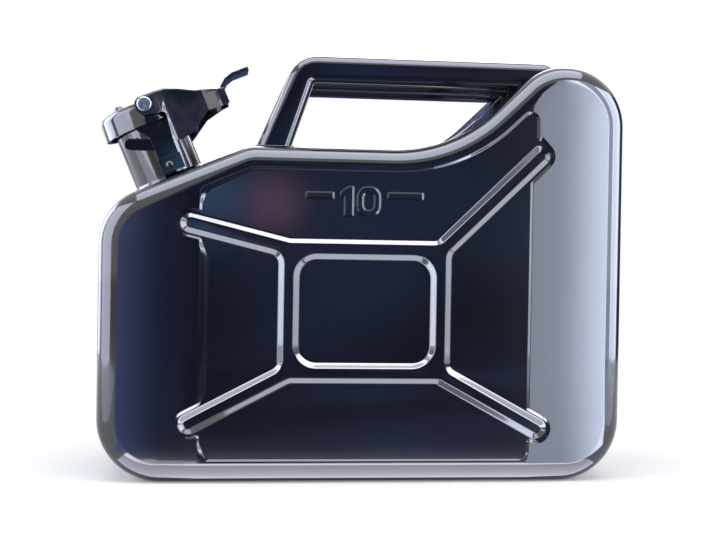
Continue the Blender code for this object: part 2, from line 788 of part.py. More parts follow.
def build_lid(lid_axis, enamel, rubber, steel):
    """The lid: a turned cap with hinge knuckle, side lugs and bosses for the lever's rivets."""
    hinge = (hinge_reach, 0, hinge_height)
    top = lid_rim + lid_height
    ceiling = top - lid_top
    bore = lid_radius - lid_skirt
    edge = [(bore, ceiling), (bore, lid_rim)] + lid_edge()
    lid = make_object("lid", turn_profile(edge, closed=False), enamel, lid_axis, hinge)

    def add(name, bm, operation):
        combine(lid, make_object(name, bm, parent=lid_axis, offset=hinge), operation)

    boss_inner = lid_radius - stub_seat
    boss_outer = lid_radius + lever_lid_gap - touch_gap
    lug = rounded_outline([
        (-lug_radius, saddle_height - lug_radius, lug_radius, corner_steps),
        (lug_radius, saddle_height - lug_radius, lug_radius, corner_steps),
        (lug_radius, saddle_height + lug_rise, ear_corner, 1),
        (-lug_radius, saddle_height + lug_rise, ear_corner, 1)])
    for side, word in ((-1, "front"), (1, "rear")):
        add("lid_lug_" + word, extrude_outline(lug, side * (bore + lug_seat),
                                               side * (bore + lug_seat - ear_thickness)), "UNION")
        add("lid_boss_" + word, rod(stub_boss_radius, side * boss_inner, side * boss_outer,
                                    (pivot_reach, pivot_height)), "UNION")
    add("lid_knuckle", rod(knuckle_radius, knuckle_gap - ear_inner, ear_inner - knuckle_gap,
                           (hinge_reach, hinge_height)), "UNION")
    arm_low = lid_radius - lid_skirt + touch_gap
    arm = box_outline(arm_low, arm_low + lid_arm_thickness, hinge_height, hinge_height + lid_arm_rise)
    add("lid_arm", extrude_outline(arm, -lid_arm_half_width, lid_arm_half_width), "UNION")
    add("lid_hinge_bore", rod(hinge_pin_radius + pin_clearance, -ear_inner, ear_inner,
                              (hinge_reach, hinge_height)), "DIFFERENCE")
    for side, word in ((-1, "front"), (1, "rear")):
        add("stub_bore_" + word, rod(stub_radius + pin_clearance, side * (boss_inner + touch_gap),
                                     side * (boss_outer + cut_overrun),
                                     (pivot_reach, pivot_height)), "DIFFERENCE")
    shank = turn_profile([(dome_shank + touch_gap, ceiling - cut_overrun / 2),
                          (dome_shank + touch_gap, top + cut_overrun)], pin_steps, closed=False)
    bmesh.ops.translate(shank, verts=shank.verts, vec=(-dome_offset, 0, 0))
    add("dome_bore", shank, "DIFFERENCE")

    seal_outer = bore - gasket_clearance
    seal_inner = seal_outer - gasket_width
    seal_low, seal_high = touch_gap, ceiling - touch_gap
    seal = turn_profile([(seal_outer, seal_low), (seal_outer, seal_high),
                         (seal_inner, seal_high), (seal_inner, seal_low)])
    make_object("lid_gasket", seal, rubber, lid_axis, hinge)
    disc = turn_profile([(seal_inner - touch_gap, seal_high - retainer_thickness),
                         (seal_inner - touch_gap, seal_high)], closed=False)
    make_object("gasket_retainer", disc, steel, lid_axis, hinge)
    seat = top + touch_gap
    dome = [(dome_shank, ceiling), (dome_shank, seat), (dome_radius, seat)]
    for step in range(1, small_steps + 1):
        angle = math.pi / 2 * step / (small_steps + 1)
        dome.append((dome_radius * math.cos(angle), seat + dome_height * math.sin(angle)))
    rivet = turn_profile(dome, pin_steps, closed=False)
    bmesh.ops.translate(rivet, verts=rivet.verts, vec=(-dome_offset, 0, 0))
    make_object("dome_rivet", rivet, enamel, lid_axis, hinge)


def build_stub_rivets(lid_axis, steel):
    """The two bright rivets that the lever turns on, each set in a boss of the lid."""
    seat = lid_radius + lever_lid_gap + lever_sheet + touch_gap
    start = lid_radius - stub_seat + 2 * touch_gap
    for side, word in ((-1, "front"), (1, "rear")):
        profile = [(stub_radius, start), (stub_radius, seat), (stub_head_radius, seat),
                   (stub_head_radius, seat + stub_head_height - stub_head_round),
                   (stub_head_radius - stub_head_round, seat + stub_head_height)]
        bm = turn_profile(profile, pin_steps, closed=False)
        bm.transform(Matrix.Translation((pivot_reach, 0, pivot_height))
                     @ Matrix.Rotation(-side * math.pi / 2, 4, "X"))
        make_object("lever_rivet_" + word, bm, steel, lid_axis, (hinge_reach, 0, hinge_height))


def thick_outline(points, thickness):
    """The outline of a bent strip of even thickness that follows a line of points."""
    points = [Vector(point) for point in points]
    sides = ([], [])
    for i, point in enumerate(points):
        before = (point - points[i - 1]).normalized() if i else None
        after = (points[i + 1] - point).normalized() if i + 1 < len(points) else None
        before, after = before or after, after or before
        left_before, left_after = Vector((-before.y, before.x)), Vector((-after.y, after.x))
        miter = (left_before + left_after) / (1 + left_before.dot(left_after))
        sides[0].append(point - miter * thickness / 2)
        sides[1].append(point + miter * thickness / 2)
    return sides[0] + sides[1][::-1]


def build_lever(lever_axis, material):
    """The cam lever: a folded channel, trimmed to its side outline, with end wall and tab."""
    front_half = lid_radius + lever_lid_gap + lever_sheet
    body_half = ear_inner + ear_thickness + lever_ear_gap + lever_sheet
    crest = lever_crest
    stations = [(-lever_front, front_half, crest), (lever_step_start, front_half, crest),
                (lever_step_end, body_half, crest),
                (lever_brow_reach, body_half, crest - lever_brow_drop),
                (lever_shoulder_reach, body_half, crest - lever_shoulder_drop),
                (lever_back_reach, body_half, crest - lever_back_drop),
                (lever_taper_start, body_half, crest - lever_back_drop
                 - (lever_tail_drop - lever_back_drop) * taper_start_share),
                (lever_taper_end, lever_tail_half_width, crest - lever_tail_drop
                 + (lever_tail_drop - lever_back_drop) * taper_end_share),
                (lever_length, lever_tail_half_width, crest - lever_tail_drop)]
    bottom = lever_toe_height - cut_overrun
    bm = bmesh.new()
    rings = []
    for reach, half, top in stations:
        section = []
        for inset in (0, lever_sheet):
            wall, roof, fold = half - inset, top - inset, lever_fold - inset
            half_section = [(wall, bottom)]
            for step in range(small_steps):
                angle = math.pi / 2 * step / (small_steps - 1)
                half_section.append((wall - fold * (1 - math.cos(angle)),
                                     roof - fold * (1 - math.sin(angle))))
            run = half_section + [(-y, z) for y, z in half_section[::-1]]
            section += run if inset == 0 else run[::-1]
        rings.append(add_ring(bm, [Vector((reach, y, z)) for y, z in section]))
    for first, second in zip(rings, rings[1:]):
        bridge(bm, first, second)
    bm.faces.new(rings[0])
    bm.faces.new(rings[-1])
    pivot = (pivot_reach, 0, pivot_height)
    lever = make_object("cam_lever", bm, material, lever_axis, pivot)

    def add(name, shape, operation):
        combine(lever, make_object(name, shape, parent=lever_axis, offset=pivot), operation)

    eye_left, eye_low = pivot_reach - lever_eye_radius, pivot_height - lever_eye_radius
    high = crest + touch_gap
    beyond = lever_length + cut_overrun
    side = rounded_outline([
        (eye_left, eye_low, lever_eye_radius, corner_steps),
        (lever_throat_reach, lever_throat_height, lever_corner, 1),
        (lever_toe_front, lever_toe_height + lever_corner, lever_corner, small_steps),
        (lever_toe_front + lever_eye_radius, lever_toe_height, lever_corner, small_steps),
        (lever_toe_back, lever_toe_height + lever_corner, lever_corner, small_steps),
        (lever_belly_reach, lever_belly_height, lever_fold, small_steps),
        (beyond, lever_tail_height, touch_gap, 1),
        (beyond, high, touch_gap, 1),
        (eye_left, high, lever_eye_radius, corner_steps)])
    add("lever_outline", extrude_outline(side, -front_half - cut_overrun, front_half + cut_overrun),
        "INTERSECT")
    gap_front, gap_body = front_half - lever_sheet - touch_gap / 4, body_half - lever_sheet - touch_gap / 4
    window = [(-lever_front - cut_overrun, gap_front), (lever_step_start, gap_front),
              (lever_step_end, gap_body), (lever_web_start, gap_body)]
    window = [Vector((x, -y)) for x, y in window] + [Vector((x, y)) for x, y in window[::-1]]
    add("lever_window", plan_prism(window, pivot_height - cut_overrun, crest + cut_overrun), "DIFFERENCE")
    add("lever_bore", rod(stub_radius + pin_clearance, -front_half - cut_overrun,
                          front_half + cut_overrun, (pivot_reach, pivot_height)), "DIFFERENCE")
    wall_middle = lever_length - lever_sheet / 2
    tail_low = lever_tail_height + touch_gap
    tail_top = crest - lever_tail_drop
    wall = box_outline(lever_length - lever_sheet, lever_length, tail_low, tail_top - touch_gap)
    inside = lever_tail_half_width - lever_sheet / 2
    add("lever_end_wall", extrude_outline(wall, -inside, inside), "UNION")
    tab = thick_outline([
        (wall_middle, tail_top - lever_fold), (wall_middle, tail_top),
        (wall_middle + tab_knee_out, tail_top + tab_knee_up),
        (wall_middle + tab_bend_out, tail_top + tab_bend_up),
        (wall_middle + tab_reach, tail_top + tab_bend_up)], tab_thickness)
    add("lever_tab", extrude_outline(tab, -tab_half_width, tab_half_width), "UNION")


def main():
    clear_scene()
    enamel = make_material("stove_enamel", (0.012, 0.013, 0.018), 0.15, 0.0)
    bright = make_material("zinc_plated_steel", (0.62, 0.62, 0.64), 0.25, 1.0)
    rubber = make_material("nitrile_rubber", (0.02, 0.02, 0.02), 0.7, 0.0)

    neck_frame = make_empty("neck_frame", place=(neck_x, 0, neck_z))
    neck_frame.rotation_euler = (0, -shoulder_slope, 0)
    closure_frame = make_empty("closure_frame", neck_frame, (0, 0, neck_length))
    lid_axis = make_empty("lid_axis", closure_frame, (hinge_reach, 0, hinge_height))
    lever_axis = make_empty("lever_axis", lid_axis,
                            (pivot_reach - hinge_reach, 0, pivot_height - hinge_height))

    cut_neck_hole(build_pressing("front_shell", -1, enamel), neck_frame)
    cut_neck_hole(build_pressing("rear_shell", 1, enamel), neck_frame)
    build_seam_bead(enamel, neck_frame)
    build_neck(neck_frame, enamel)
    build_breather(neck_frame, bright)
    build_bars(enamel)
    build_ear("neck_bracket_front", -1, closure_frame, enamel, guide=True)
    build_ear("neck_bracket_rear", 1, closure_frame, enamel, guide=False)
    build_slide(enamel)
    pin_end = ear_inner + ear_thickness + pin_stand_out
    make_object("hinge_pin", rod(hinge_pin_radius, -pin_end, pin_end, (hinge_reach, hinge_height)),
                bright, closure_frame)
    build_lid(lid_axis, enamel, rubber, bright)
    build_stub_rivets(lid_axis, bright)
    build_lever(lever_axis, enamel)

    # The lid overhangs the tank's end, so the whole can moves along to centre its footprint.
    lid_reach = max(radius * math.cos(shoulder_slope) + height * math.sin(shoulder_slope)
                    for radius, height in lid_edge())
    overhang = lid_reach - mouth_x - half_length
    loose = [obj for obj in bpy.data.objects if obj.parent is None]
    can_frame = make_empty("can_frame", place=(max(overhang, 0) / 2, 0, 0))
    for obj in loose:
        obj.parent = can_frame


main()
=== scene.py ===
import math

import bmesh
import bpy
from mathutils import Matrix, Vector


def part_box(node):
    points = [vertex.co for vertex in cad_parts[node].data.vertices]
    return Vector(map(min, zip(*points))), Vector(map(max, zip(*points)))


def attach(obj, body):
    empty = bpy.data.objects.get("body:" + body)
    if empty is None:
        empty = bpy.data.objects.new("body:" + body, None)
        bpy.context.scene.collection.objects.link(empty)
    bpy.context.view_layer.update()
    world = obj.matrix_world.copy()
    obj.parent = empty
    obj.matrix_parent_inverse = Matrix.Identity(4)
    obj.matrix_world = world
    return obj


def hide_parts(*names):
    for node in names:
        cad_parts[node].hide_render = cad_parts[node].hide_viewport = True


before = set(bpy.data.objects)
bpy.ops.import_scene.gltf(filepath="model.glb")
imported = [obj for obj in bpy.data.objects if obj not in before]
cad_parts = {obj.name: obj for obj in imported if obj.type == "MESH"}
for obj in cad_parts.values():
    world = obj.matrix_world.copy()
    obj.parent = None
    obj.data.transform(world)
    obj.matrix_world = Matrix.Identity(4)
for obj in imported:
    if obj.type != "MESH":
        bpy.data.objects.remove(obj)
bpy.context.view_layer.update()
print("frame loaded:", len(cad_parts), "nodes")

mm = 0.001


def hexColour(text):
    # sRGB hex to the linear values that the shaders take
    parts = [int(text[i:i + 2], 16) / 255 for i in (1, 3, 5)]
    linear = [p / 12.92 if p <= 0.04045 else ((p + 0.055) / 1.055) ** 2.4 for p in parts]
    return (*linear, 1)


def addNode(tree, kind, settings=None, links=None):
    # settings: node properties by name, or input values by index or name in "inputs"
    node = tree.nodes.new(kind)
    settings = dict(settings or {})
    values = settings.pop("inputs", {})
    for key, value in settings.items():
        setattr(node, key, value)
    for key, value in values.items():
        node.inputs[key].default_value = value
    for key, source in (links or {}).items():
        tree.links.new(source, node.inputs[key])
    return node


def addNoise(tree, place, size, **inputs):
    return addNode(tree, "ShaderNodeTexNoise", {"inputs": {"Scale": 1 / size, **inputs}},
                   {"Vector": place}).outputs["Fac"]


def newMaterial(name):
    material = bpy.data.materials.new(name)
    material.use_nodes = True
    tree = material.node_tree
    shader = tree.nodes["Principled BSDF"]
    place = addNode(tree, "ShaderNodeTexCoord").outputs["Object"]
    return material, tree, shader, place


def emptyMaterial(name):
    # for the stage: no shader yet, and places measured in the room
    material = bpy.data.materials.new(name)
    material.use_nodes = True
    tree = material.node_tree
    tree.nodes.clear()
    place = addNode(tree, "ShaderNodeNewGeometry").outputs["Position"]
    return material, tree, place


# Finishes

enamel = {
    "deep": "#07080c", "light": "#0d0f16", "bare": "#3a3c42", "cloudSize": 40 * mm,
    "edgeFrom": 0.56, "edgeTo": 0.66, "wornMost": 0.5, "chipSize": 6 * mm,
    "peelSize": 1.6 * mm, "peelDepth": 0.006 * mm,
    "waveSize": 55 * mm, "waveDepth": 0.10 * mm, "waveStretch": (1, 1, 0.35),
    "roughness": 0.16, "roughnessWorn": 0.34,
    "ior": 1.4, "coatIor": 1.62, "coatRoughness": 0.03,
}


def stoveEnamel(name, wave=1.0, peel=1.0):
    # black stove enamel, sprayed and baked on pressed sheet: deep gloss with a faint orange
    # peel, slow waves from the sheet below, and thinner, duller paint on sharp edges
    material, tree, shader, place = newMaterial(name)
    cloud = addNoise(tree, place, enamel["cloudSize"], Detail=3)
    body = addNode(tree, "ShaderNodeMix", {"data_type": "RGBA", "inputs": {
        6: hexColour(enamel["deep"]), 7: hexColour(enamel["light"])}}, {0: cloud})
    edge = addNode(tree, "ShaderNodeNewGeometry").outputs["Pointiness"]
    worn = addNode(tree, "ShaderNodeMapRange", {"inputs": {
        "From Min": enamel["edgeFrom"], "From Max": enamel["edgeTo"],
        "To Min": 0, "To Max": enamel["wornMost"]}}, {"Value": edge})
    chips = addNoise(tree, place, enamel["chipSize"], Detail=5)
    chipped = addNode(tree, "ShaderNodeMath", {"operation": "MULTIPLY"},
                      {0: worn.outputs["Result"], 1: chips})
    colour = addNode(tree, "ShaderNodeMix", {"data_type": "RGBA", "inputs": {
        7: hexColour(enamel["bare"])}}, {0: chipped.outputs[0], 6: body.outputs[2]})
    tree.links.new(colour.outputs[2], shader.inputs["Base Color"])
    rough = addNode(tree, "ShaderNodeMapRange", {"inputs": {
        "From Min": 0, "From Max": enamel["wornMost"], "To Min": enamel["roughness"],
        "To Max": enamel["roughnessWorn"]}}, {"Value": chipped.outputs[0]})
    tree.links.new(rough.outputs["Result"], shader.inputs["Roughness"])
    peelNoise = addNoise(tree, place, enamel["peelSize"], Detail=2)
    peelBump = addNode(tree, "ShaderNodeBump", {"inputs": {
        "Strength": peel, "Distance": enamel["peelDepth"]}}, {"Height": peelNoise})
    stretched = addNode(tree, "ShaderNodeMapping", {"inputs": {"Scale": enamel["waveStretch"]}},
                        {"Vector": place}).outputs[0]
    waveNoise = addNoise(tree, stretched, enamel["waveSize"], Detail=1, Roughness=0.4)
    waveBump = addNode(tree, "ShaderNodeBump", {"inputs": {
        "Strength": wave, "Distance": enamel["waveDepth"]}},
        {"Height": waveNoise, "Normal": peelBump.outputs[0]})
    tree.links.new(waveBump.outputs[0], shader.inputs["Normal"])
    tree.links.new(peelBump.outputs[0], shader.inputs["Coat Normal"])
    shader.inputs["IOR"].default_value = enamel["ior"]
    shader.inputs["Coat Weight"].default_value = 1
    shader.inputs["Coat Roughness"].default_value = enamel["coatRoughness"]
    shader.inputs["Coat IOR"].default_value = enamel["coatIor"]
    return material


zinc = {
    "bright": "#c8cbd0", "dull": "#8f949c", "cloudSize": 3 * mm,
    "grain": 0.5 * mm, "grainStrength": 0.4, "grainDepth": 0.01 * mm,
    "roughness": 0.24, "smoother": 0.08, "rougher": 0.1,
}


def zincPlatedSteel(name):
    # bright zinc on turned or drawn steel: pale, slightly cloudy, with fine tool marks
    material, tree, shader, place = newMaterial(name)
    cloud = addNoise(tree, place, zinc["cloudSize"], Detail=4)
    tone = addNode(tree, "ShaderNodeMix", {"data_type": "RGBA", "inputs": {
        6: hexColour(zinc["dull"]), 7: hexColour(zinc["bright"])}}, {0: cloud})
    tree.links.new(tone.outputs[2], shader.inputs["Base Color"])
    rough = addNode(tree, "ShaderNodeMapRange", {"inputs": {
        "To Min": zinc["roughness"] - zinc["smoother"],
        "To Max": zinc["roughness"] + zinc["rougher"]}}, {"Value": cloud})
    tree.links.new(rough.outputs["Result"], shader.inputs["Roughness"])
    bump = addNode(tree, "ShaderNodeBump", {"inputs": {
        "Strength": zinc["grainStrength"], "Distance": zinc["grainDepth"]}},
        {"Height": addNoise(tree, place, zinc["grain"])})
    tree.links.new(bump.outputs[0], shader.inputs["Normal"])
    shader.inputs["Metallic"].default_value = 1
    return material


rubber = {
    "dark": "#101112", "pale": "#1c1d1f", "roughness": 0.72,
    "grain": 0.4 * mm, "grainStrength": 0.5, "grainDepth": 0.02 * mm,
}


def nitrileRubber(name):
    # moulded nitrile seal: matt black with a fine grain and a little bloom
    material, tree, shader, place = newMaterial(name)
    grain = addNoise(tree, place, rubber["grain"], Detail=3)
    tone = addNode(tree, "ShaderNodeMix", {"data_type": "RGBA", "inputs": {
        6: hexColour(rubber["dark"]), 7: hexColour(rubber["pale"])}}, {0: grain})
    tree.links.new(tone.outputs[2], shader.inputs["Base Color"])
    bump = addNode(tree, "ShaderNodeBump", {"inputs": {
        "Strength": rubber["grainStrength"], "Distance": rubber["grainDepth"]}},
        {"Height": grain})
    tree.links.new(bump.outputs[0], shader.inputs["Normal"])
    shader.inputs["Roughness"].default_value = rubber["roughness"]
    return material


panelEnamel = stoveEnamel("stove enamel on pressed panels")
fittingEnamel = stoveEnamel("stove enamel on folded fittings", wave=0.2)
weldEnamel = stoveEnamel("stove enamel over weld", wave=0, peel=2.0)
zincSteel = zincPlatedSteel("zinc plated steel")
sealRubber = nitrileRubber("moulded nitrile rubber")
print("finishes ready")


# Shapes

def newObject(name, bm, material, body, stands=(), sharpAngle=40):
    mesh = bpy.data.meshes.new(name)
    bm.to_mesh(mesh)
    bm.free()
    mesh.shade_smooth()
    mesh.set_sharp_from_angle(angle=math.radians(sharpAngle))
    mesh.materials.append(material)
    piece = bpy.data.objects.new(name, mesh)
    bpy.context.scene.collection.objects.link(piece)
    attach(piece, body)
    if stands:
        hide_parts(*stands)
    return piece


def bakeModifiers(piece):
    # writes the evaluated mesh back, so that no modifier is left on the piece
    bpy.context.view_layer.update()
    evaluated = piece.evaluated_get(bpy.context.evaluated_depsgraph_get())
    mesh = bpy.data.meshes.new_from_object(evaluated)
    old = piece.data
    piece.modifiers.clear()
    piece.data = mesh
    bpy.data.meshes.remove(old)
    mesh.name = piece.name


def shadeEvenly(piece, keepSharp):
    # large faces keep their flat shading, and only the narrow rounds between them turn
    weigh = piece.modifiers.new("evenShading", "WEIGHTED_NORMAL")
    weigh.keep_sharp = keepSharp
    bakeModifiers(piece)


# how much of a straight edge its two corner rounds may take, and the smallest round left
rounding = {"straightShare": 0.98, "smallest": 0.3 * mm}


def roundedOutline(corners, inset=0.0):
    # rounds a counter-clockwise polygon of (x, z, radius, steps), moved inwards by inset
    points = [Vector(corner[:2]) for corner in corners]
    count = len(points)
    edges = [points[(i + 1) % count] - points[i] for i in range(count)]
    turns = [math.atan2(edges[i - 1].cross(edges[i]), edges[i - 1].dot(edges[i]))
             for i in range(count)]
    reaches = [corners[i][2] * math.tan(abs(turns[i]) / 2) for i in range(count)]
    spare = [edges[i].length * rounding["straightShare"]
             / (reaches[i] + reaches[(i + 1) % count]) for i in range(count)]
    outline = []
    for i in range(count):
        hand = math.copysign(1, turns[i])
        before, after = edges[i - 1].normalized(), edges[i].normalized()
        leftBefore, leftAfter = Vector((-before.y, before.x)), Vector((-after.y, after.x))
        miter = (leftBefore + leftAfter) / (1 + leftBefore.dot(leftAfter))
        radius = max(corners[i][2] * min(1, spare[i - 1], spare[i]) - inset * hand,
                     rounding["smallest"])
        start = points[i] + miter * inset - before * radius * math.tan(abs(turns[i]) / 2)
        centre = start + leftBefore * radius * hand
        for step in range(corners[i][3] + 1):
            turned = Matrix.Rotation(turns[i] * step / corners[i][3], 2)
            outline.append(centre + turned @ (start - centre))
    return outline


def addRing(bm, points):
    return [bm.verts.new(point) for point in points]


def bridge(bm, first, second):
    for i in range(len(first)):
        j = (i + 1) % len(first)
        bm.faces.new((first[i], first[j], second[j], second[i]))


def fillFlat(bm, *rings):
    edges = []
    for ring in rings:
        for i, vert in enumerate(ring):
            other = ring[(i + 1) % len(ring)]
            edges.append(bm.edges.get((vert, other)) or bm.edges.new((vert, other)))
    bmesh.ops.triangle_fill(bm, use_beauty=True, use_dissolve=False, edges=edges)


# Tank: the two pressings, with softer edges than the frame's

tank = {
    "length": 350 * mm, "depth": 144 * mm, "height": 279.3 * mm, "recessDrop": 58.8 * mm,
    "sheet": 1.2 * mm, "gap": 0.3 * mm,
    "baseRadius": 41 * mm, "shoulderRadius": 38 * mm, "tallRadius": 40 * mm,
    "crownRadius": 38 * mm, "floorRadius": 26 * mm, "bankRadius": 100 * mm,
    "shoulderSlope": 23, "bankSlope": 44, "shoulderEnd": 96.6 * mm, "bankReach": 118 * mm,
    "faceRoll": 13 * mm, "seamHalfWidth": 4 * mm, "seamDepth": 3 * mm,
    "flangeShort": 0.6 * mm, "seamRunOut": 1.2 * mm, "cutTolerance": 0.001 * mm,
    "cornerSteps": 20, "rollSteps": 12, "smallSteps": 6, "tipSteps": 10, "seamSteps": 4,
}
relief = {
    "wingWidth": 65 * mm, "creaseLean": 4 * mm, "wingDrop": 3.5 * mm,
    "stepDepth": 1.2 * mm, "stepWidth": 1.8 * mm, "panelMargin": 14.5 * mm,
    "grooveWidth": 14.2 * mm, "grooveDepth": 2.6 * mm, "grooveWall": 4.1 * mm,
    "ringWidth": 87 * mm, "ringHeight": 67.6 * mm, "ringMiddleShare": 0.512,
    "ringOffset": 1.1 * mm, "ringRadius": 11.5 * mm, "lobeMargin": 2.2 * mm,
    "bendRadius": 6 * mm, "lobeBendRadius": 0.8 * mm, "armPastCrease": 5.5 * mm,
    "upperLeftDrop": 51.3 * mm, "upperRightDrop": 2.5 * mm,
    "lowerLeftHeight": 38.5 * mm, "lowerRightHeight": 35.8 * mm,
    "filletShare": 0.2, "wallSteps": 12,
    "stepSoftening": 0.4 * mm, "grooveSoftening": 0.5 * mm,
    "softStep": 6 * mm, "softStepReach": 9 * mm, "softPastCrease": 2 * mm,
    "softCut": 3 * mm, "uprightLeast": 6 * mm, "uprightDrift": 1 * mm,
    "tipClearance": 1.4, "tipRoundShare": 0.96,
}
halfLength, halfDepth = tank["length"] / 2, tank["depth"] / 2
shiftX = (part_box("front_shell")[0].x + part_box("front_shell")[1].x) / 2
shoulderSlope, bankSlope = math.radians(tank["shoulderSlope"]), math.radians(tank["bankSlope"])
recessHeight = tank["height"] - tank["recessDrop"]
shoulderX = tank["shoulderEnd"] - halfLength
bankX = halfLength - tank["bankReach"]
crownX = bankX + tank["recessDrop"] / math.tan(bankSlope)
shoulderWall = recessHeight - tank["shoulderEnd"] * math.tan(shoulderSlope)
creaseX = halfLength - relief["wingWidth"]
ringHalfWidth = relief["ringWidth"] / 2 + relief["grooveWidth"]
ringHalfHeight = relief["ringHeight"] / 2 + relief["grooveWidth"]
ringLeft, ringRight = -ringHalfWidth - relief["ringOffset"], ringHalfWidth - relief["ringOffset"]
ringMiddle = recessHeight * relief["ringMiddleShare"]
ringLow, ringHigh = ringMiddle - ringHalfHeight, ringMiddle + ringHalfHeight
armTips = {
    "lowerRight": (1, -1, relief["lowerRightHeight"]),
    "upperRight": (1, 1, recessHeight - relief["upperRightDrop"]),
    "upperLeft": (-1, 1, recessHeight - relief["upperLeftDrop"]),
    "lowerLeft": (-1, -1, relief["lowerLeftHeight"]),
}


def tankCorners():
    big, small = tank["cornerSteps"], tank["smallSteps"]
    return [(halfLength, 0, tank["baseRadius"], big),
            (halfLength, tank["height"], tank["tallRadius"], big),
            (crownX, tank["height"], tank["crownRadius"], big),
            (bankX, recessHeight, tank["bankRadius"], big),
            (shoulderX, recessHeight, tank["floorRadius"], small),
            (-halfLength, shoulderWall, tank["shoulderRadius"], big),
            (-halfLength, 0, tank["baseRadius"], big)]


def meet(point, direction, axis, value):
    return point + direction * ((value - point[axis]) / direction[axis])


def armCorners(arm, halfWidth, arrival, departure, rootRadius):
    side, rise, tipHeight = armTips[arm]
    half = relief["grooveWidth"] / 2
    start = Vector((side * (ringHalfWidth - half) - relief["ringOffset"],
                    ringMiddle + rise * (ringHalfHeight - half)))
    tip = Vector((side * (creaseX + relief["armPastCrease"]), tipHeight))
    along = (tip - start).normalized()
    across = Vector((-along.y, along.x)) * halfWidth
    end = tip + along * halfWidth
    tipRadius = halfWidth * relief["tipRoundShare"]
    return [(*meet(start - across, along, *arrival), rootRadius, tank["smallSteps"]),
            (*(end - across), tipRadius, tank["tipSteps"]),
            (*(end + across), tipRadius, tank["tipSteps"]),
            (*meet(start + across, along, *departure), rootRadius, tank["smallSteps"])]


def grooveCorners():
    half, bend = relief["grooveWidth"] / 2, relief["bendRadius"]
    return (armCorners("lowerRight", half, (1, ringLow), (0, ringRight), bend)
            + armCorners("upperRight", half, (0, ringRight), (1, ringHigh), bend)
            + armCorners("upperLeft", half, (1, ringHigh), (0, ringLeft), bend)
            + armCorners("lowerLeft", half, (0, ringLeft), (1, ringLow), bend))


def panelCorners():
    half = relief["grooveWidth"] / 2 + relief["lobeMargin"]
    margin, bend, lobe = relief["panelMargin"], relief["bendRadius"], relief["lobeBendRadius"]
    small = tank["smallSteps"]
    right, upperRight, left = creaseX, creaseX + relief["creaseLean"], -creaseX
    dropBank, dropShoulder = margin / math.cos(bankSlope), margin / math.cos(shoulderSlope)
    top = recessHeight - margin
    bankTop = recessHeight + (upperRight - bankX) * math.tan(bankSlope) - dropBank
    bendX = bankX + (dropBank - margin) / math.tan(bankSlope)
    kneeX = shoulderX + (dropShoulder - margin) / math.tan(shoulderSlope)
    shoulderTop = recessHeight + (left - shoulderX) * math.tan(shoulderSlope) - dropShoulder
    return ([(left, margin, bend, small), (right, margin, bend, small)]
            + armCorners("lowerRight", half, (0, right), (0, right), lobe)
            + armCorners("upperRight", half, (0, right), (0, upperRight), lobe)
            + [(upperRight, bankTop, bend, small),
               (bendX, top, tank["bankRadius"] + margin, tank["cornerSteps"]),
               (kneeX, top, bend, small), (left, shoulderTop, bend, small)]
            + armCorners("upperLeft", half, (0, left), (0, left), lobe)
            + armCorners("lowerLeft", half, (0, left), (0, left), lobe))


def ringCorners():
    wide = relief["grooveWidth"]
    left, right, low, high = ringLeft + wide, ringRight - wide, ringLow + wide, ringHigh - wide
    radius, steps = relief["ringRadius"], tank["tipSteps"]
    return [(left, low, radius, steps), (right, low, radius, steps),
            (right, high, radius, steps), (left, high, radius, steps)]


def wallFall(share):
    # how far a pressed wall has fallen: straight, with a fillet at its top and at its foot
    fillet = relief["filletShare"]
    slope = 1 / (1 - fillet)
    if share < fillet:
        return slope * share * share / (2 * fillet)
    if share > 1 - fillet:
        return 1 - slope * (1 - share) ** 2 / (2 * fillet)
    return slope * (share - fillet / 2)


def faceLevel(x):
    beyond = max(abs(x) - creaseX, 0) / relief["wingWidth"]
    return halfDepth - relief["wingDrop"] * beyond


